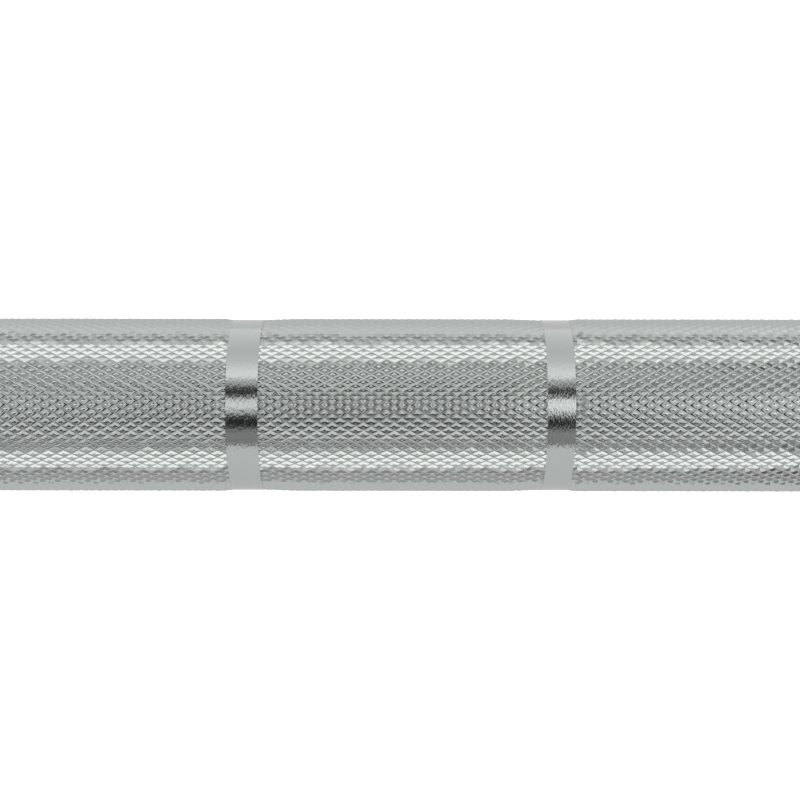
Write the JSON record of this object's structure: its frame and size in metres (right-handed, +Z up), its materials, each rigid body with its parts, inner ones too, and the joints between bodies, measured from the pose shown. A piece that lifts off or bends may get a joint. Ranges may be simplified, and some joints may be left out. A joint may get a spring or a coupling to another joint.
{
  "type": "olympic barbell",
  "caption": "Long steel weightlifting bar: knurled shaft with plain grip marks, and collared sleeves for plates that spin freely on needle bearings and bushes.",
  "frame": {"origin": "middle of the shaft, on the bar's axis", "axes": "+X along the bar towards the right-hand sleeve, +Z up, +Y away from the viewer"},
  "size_m": [2.2, 0.072, 0.072],
  "materials": {
    "shaft_chrome": "satin plated, knurled",
    "sleeve_chrome": "satin, fine turned",
    "seal_rubber": "matt",
    "bush_bronze": "oil-filled sintered bronze",
    "bearing_steel": "drawn",
    "cage_steel": "pressed",
    "needle_steel": "ground and polished",
    "washer_steel": "ground",
    "spring_steel": "black phosphate",
    "cap_aluminium": "turned and bead-blasted"
  },
  "bodies": {
    "shaft": {"shaft": "shaft_chrome", "left_inner_thrust_washer": "washer_steel", "left_outer_thrust_washer": "washer_steel", "left_shaft_snap_ring": "spring_steel", "right_inner_thrust_washer": "washer_steel", "right_outer_thrust_washer": "washer_steel", "right_shaft_snap_ring": "spring_steel"},
    "left_sleeve": {"left_sleeve_tube": "sleeve_chrome", "left_inner_collar": "sleeve_chrome", "left_dust_seal": "seal_rubber", "left_inner_bush": "bush_bronze", "left_inner_bearing_cup": "bearing_steel", "left_outer_bearing_cup": "bearing_steel", "left_outer_bush": "bush_bronze", "left_end_cap": "cap_aluminium", "left_end_cap_snap_ring": "spring_steel"},
    "left_inner_cage": {"left_inner_bearing_cage": "cage_steel", "left_inner_bearing_needles": "needle_steel"},
    "left_outer_cage": {"left_outer_bearing_cage": "cage_steel", "left_outer_bearing_needles": "needle_steel"},
    "right_sleeve": {"right_sleeve_tube": "sleeve_chrome", "right_inner_collar": "sleeve_chrome", "right_dust_seal": "seal_rubber", "right_inner_bush": "bush_bronze", "right_inner_bearing_cup": "bearing_steel", "right_outer_bearing_cup": "bearing_steel", "right_outer_bush": "bush_bronze", "right_end_cap": "cap_aluminium", "right_end_cap_snap_ring": "spring_steel"},
    "right_inner_cage": {"right_inner_bearing_cage": "cage_steel", "right_inner_bearing_needles": "needle_steel"},
    "right_outer_cage": {"right_outer_bearing_cage": "cage_steel", "right_outer_bearing_needles": "needle_steel"}
  },
  "joints": [
    {"name": "left_sleeve_spin", "type": "hinge", "parent": "shaft", "child": "left_sleeve", "pos_m": [-0.8775, 0, 0], "axis": [1, 0, 0], "continuous": true},
    {"name": "left_inner_cage_spin", "type": "hinge", "parent": "shaft", "child": "left_inner_cage", "pos_m": [-0.7073, 0, 0], "axis": [1, 0, 0], "continuous": true},
    {"name": "left_outer_cage_spin", "type": "hinge", "parent": "shaft", "child": "left_outer_cage", "pos_m": [-1.034, 0, 0], "axis": [1, 0, 0], "continuous": true},
    {"name": "right_sleeve_spin", "type": "hinge", "parent": "shaft", "child": "right_sleeve", "pos_m": [0.8775, 0, 0], "axis": [1, 0, 0], "continuous": true},
    {"name": "right_inner_cage_spin", "type": "hinge", "parent": "shaft", "child": "right_inner_cage", "pos_m": [0.7073, 0, 0], "axis": [1, 0, 0], "continuous": true},
    {"name": "right_outer_cage_spin", "type": "hinge", "parent": "shaft", "child": "right_outer_cage", "pos_m": [1.034, 0, 0], "axis": [1, 0, 0], "continuous": true}
  ],
  "couplings": [
    {"joint": "left_inner_cage_spin", "follows": "left_sleeve_spin", "ratio": 0.54546},
    {"joint": "left_outer_cage_spin", "follows": "left_sleeve_spin", "ratio": 0.54546},
    {"joint": "right_inner_cage_spin", "follows": "right_sleeve_spin", "ratio": 0.54546},
    {"joint": "right_outer_cage_spin", "follows": "right_sleeve_spin", "ratio": 0.54546}
  ]
}
